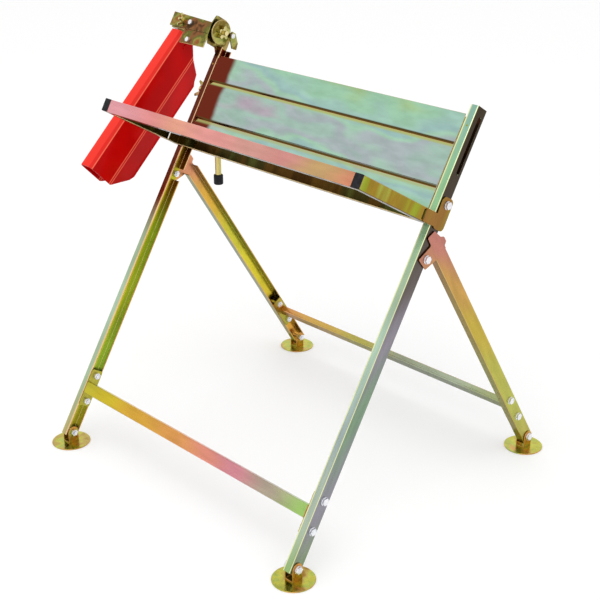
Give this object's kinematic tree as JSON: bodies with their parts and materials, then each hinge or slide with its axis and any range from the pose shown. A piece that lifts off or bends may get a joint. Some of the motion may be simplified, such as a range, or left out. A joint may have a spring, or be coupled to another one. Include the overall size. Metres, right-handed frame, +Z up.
{
  "type": "folding sawhorse",
  "caption": "Folding steel sawhorse: leaning channel legs on swivel discs, fold-out log arms with a front bar, a ribbed back panel and a swivelling chain-saw holder with a red guard",
  "frame": {"origin": "middle of the whole stand's footprint, on the floor", "axes": "+X along the log toward the side without the guard, +Y to the back, +Z up; the front is -Y"},
  "size_m": [0.8672, 0.7534, 0.8395],
  "materials": {
    "zinc_leg": "yellow-passivated zinc, satin",
    "zinc_panel": "yellow-passivated zinc, mirror-like",
    "zinc_arm": "yellow-passivated zinc, satin",
    "zinc_bar": "yellow-passivated zinc, pink and green sheen",
    "zinc_foot": "yellow-passivated zinc, satin",
    "zinc_holder": "yellow-passivated zinc, satin",
    "zinc_knob": "yellow-passivated zinc, bright",
    "bolt": "white zinc, bright",
    "guard_red": "red powder coat, glossy",
    "rubber_black": "matt"
  },
  "bodies": {
    "stand": {"long_leg_left": "zinc_leg", "long_leg_right": "zinc_leg", "front_crossbar": "zinc_bar", "front_tie_left": "zinc_holder", "front_tie_right": "zinc_holder", "front_tie_bolts": "bolt", "stand_nuts": "bolt", "back_panel": "zinc_panel", "panel_rivets": "bolt", "fold_bolts": "bolt", "fold_washers": "bolt", "arm_bolts": "bolt", "front_foot_bolts": "bolt", "rod_bracket": "zinc_holder", "rod_pin": "bolt"},
    "rod": {"hanging_rod": "zinc_holder", "rod_tip": "rubber_black"},
    "rear_frame": {"rear_leg_left": "zinc_leg", "rear_leg_right": "zinc_leg", "rear_crossbar": "zinc_bar", "rear_tie_left": "zinc_holder", "rear_tie_right": "zinc_holder", "rear_tie_bolts": "bolt", "rear_foot_bolts": "bolt", "rear_nuts": "bolt"},
    "arm_frame": {"arm_left": "zinc_arm", "arm_right": "zinc_arm", "front_bar": "zinc_bar", "cross_member": "zinc_arm", "arm_side_plate_left": "zinc_arm", "arm_side_plate_right": "zinc_arm", "arm_cap_left": "rubber_black", "arm_cap_right": "rubber_black"},
    "foot_front_right": {"foot_disc_front_right": "zinc_foot", "foot_bracket_front_right": "zinc_foot"},
    "foot_front_left": {"foot_disc_front_left": "zinc_foot", "foot_bracket_front_left": "zinc_foot"},
    "foot_rear_right": {"foot_disc_rear_right": "zinc_foot", "foot_bracket_rear_right": "zinc_foot"},
    "foot_rear_left": {"foot_disc_rear_left": "zinc_foot", "foot_bracket_rear_left": "zinc_foot"},
    "holder": {"holder_post": "zinc_holder", "slot_bolt": "bolt", "friction_disc": "zinc_holder", "disc_pin": "bolt", "stop_plate": "zinc_holder"},
    "slot_knob": {"slot_wing_nut": "zinc_knob"},
    "head": {"swivel_bolt": "zinc_knob", "swivel_beam": "zinc_holder", "saw_bracket": "zinc_holder", "bar_jaw": "zinc_holder", "holder_bolts": "bolt", "holder_nuts": "bolt", "beam_stud": "zinc_knob", "guard_clip": "zinc_holder", "chain_guard": "guard_red", "guard_rivets": "bolt"},
    "star_knob": {"star_nut": "zinc_knob"},
    "clamp_knob": {"beam_wing_nut": "zinc_knob"}
  },
  "joints": [
    {"name": "rear_fold", "type": "hinge", "parent": "stand", "child": "rear_frame", "pos_m": [0.05025, -0.02061, 0.52355], "axis": [-1, 0, 0], "range_deg": [0, 57]},
    {"name": "arm_fold", "type": "hinge", "parent": "stand", "child": "arm_frame", "pos_m": [0.05025, 0.03044, 0.61167], "axis": [-1, 0, 0], "range_deg": [0, 74]},
    {"name": "foot_front_left_tilt", "type": "hinge", "parent": "stand", "child": "foot_front_left", "pos_m": [-0.29025, -0.33668, 0.026], "axis": [1, 0, 0], "range_deg": [-25, 25]},
    {"name": "foot_front_right_tilt", "type": "hinge", "parent": "stand", "child": "foot_front_right", "pos_m": [0.39075, -0.33668, 0.026], "axis": [1, 0, 0], "range_deg": [-25, 25]},
    {"name": "foot_rear_left_tilt", "type": "hinge", "parent": "rear_frame", "child": "foot_rear_left", "pos_m": [-0.29305, 0.33668, 0.026], "axis": [1, 0, 0], "range_deg": [-25, 25]},
    {"name": "foot_rear_right_tilt", "type": "hinge", "parent": "rear_frame", "child": "foot_rear_right", "pos_m": [0.39355, 0.33668, 0.026], "axis": [1, 0, 0], "range_deg": [-25, 25]},
    {"name": "rod_swing", "type": "hinge", "parent": "stand", "child": "rod", "pos_m": [-0.21275, 0.02785, 0.61186], "axis": [1, 0, 0], "range_deg": [-30, 60]},
    {"name": "holder_height", "type": "slide", "parent": "stand", "child": "holder", "axis": [0, 0.524, 0.8517], "range_m": [0, 0.028]},
    {"name": "slot_knob_turn", "type": "hinge", "parent": "holder", "child": "slot_knob", "pos_m": [-0.30185, 0.07302, 0.68739], "axis": [-1, 0, 0], "continuous": true},
    {"name": "head_swivel", "type": "hinge", "parent": "holder", "child": "head", "pos_m": [-0.30275, 0.11138, 0.80585], "axis": [-1, 0, 0], "range_deg": [0, 60]},
    {"name": "star_knob_turn", "type": "hinge", "parent": "head", "child": "star_knob", "pos_m": [-0.28275, 0.11138, 0.80585], "axis": [1, 0, 0], "continuous": true},
    {"name": "clamp_knob_turn", "type": "hinge", "parent": "head", "child": "clamp_knob", "pos_m": [-0.39375, 0.09599, 0.81767], "axis": [0, -0.8517, 0.524], "continuous": true}
  ]
}
